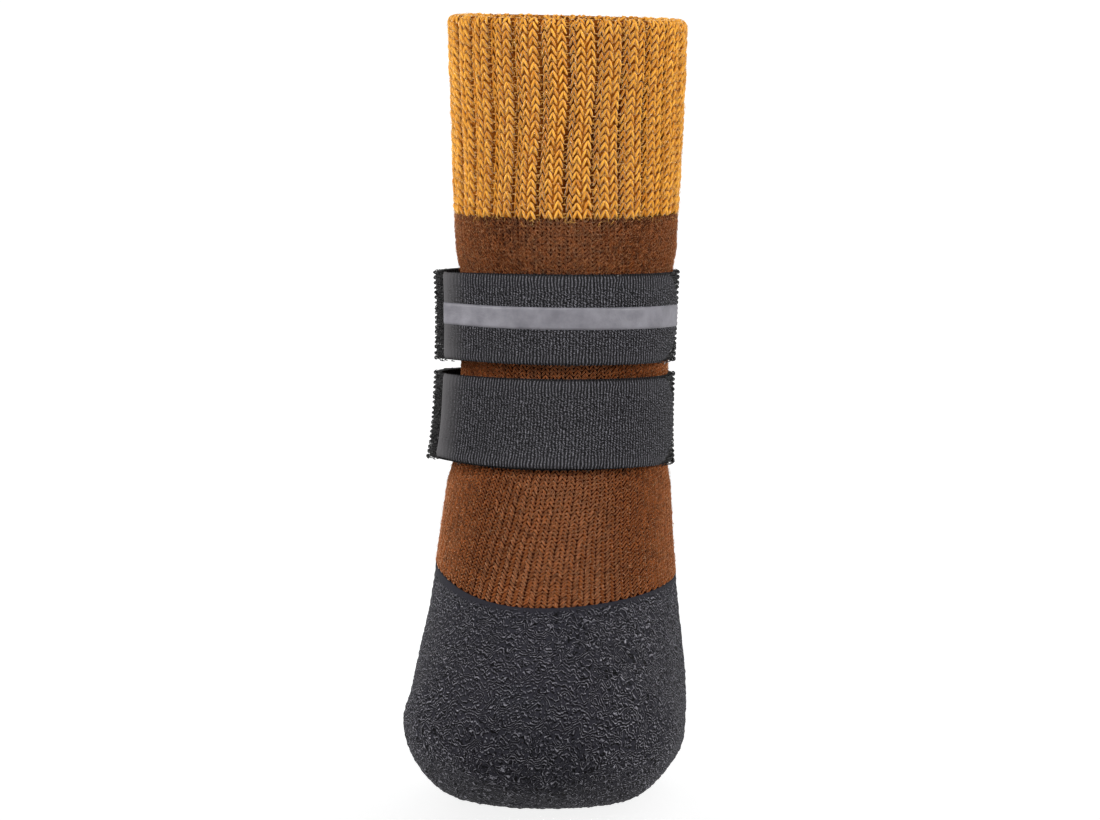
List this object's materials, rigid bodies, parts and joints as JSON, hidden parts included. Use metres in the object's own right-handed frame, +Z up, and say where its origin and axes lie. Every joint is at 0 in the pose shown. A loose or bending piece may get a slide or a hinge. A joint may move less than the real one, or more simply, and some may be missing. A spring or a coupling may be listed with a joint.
{
  "type": "dog sock",
  "caption": "Knitted dog sock with a ribbed cuff, a rubber-dipped foot and touch-fastened straps round the leg, standing empty and open at the top.",
  "frame": {"origin": "on the floor, under the middle of the sock's box", "axes": "+Z up along the leg, -Y towards the toe, +X towards the straps' free ends"},
  "size_m": [0.0636, 0.0938, 0.1755],
  "materials": {
    "knit": "brushed brown knit with a mustard ribbed cuff",
    "rubber": "crinkled dipped rubber",
    "hook_tape": "woven tape with plastic hooks",
    "webbing": "ribbed woven webbing",
    "reflective": "grey reflective tape"
  },
  "bodies": {
    "root": {"knit_upper": "knit", "rubber_foot": "rubber", "tape_upper": "hook_tape", "tape_lower": "hook_tape", "strap_upper": "webbing", "strap_lower": "webbing", "reflective_stripe": "reflective"}
  },
  "joints": []
}
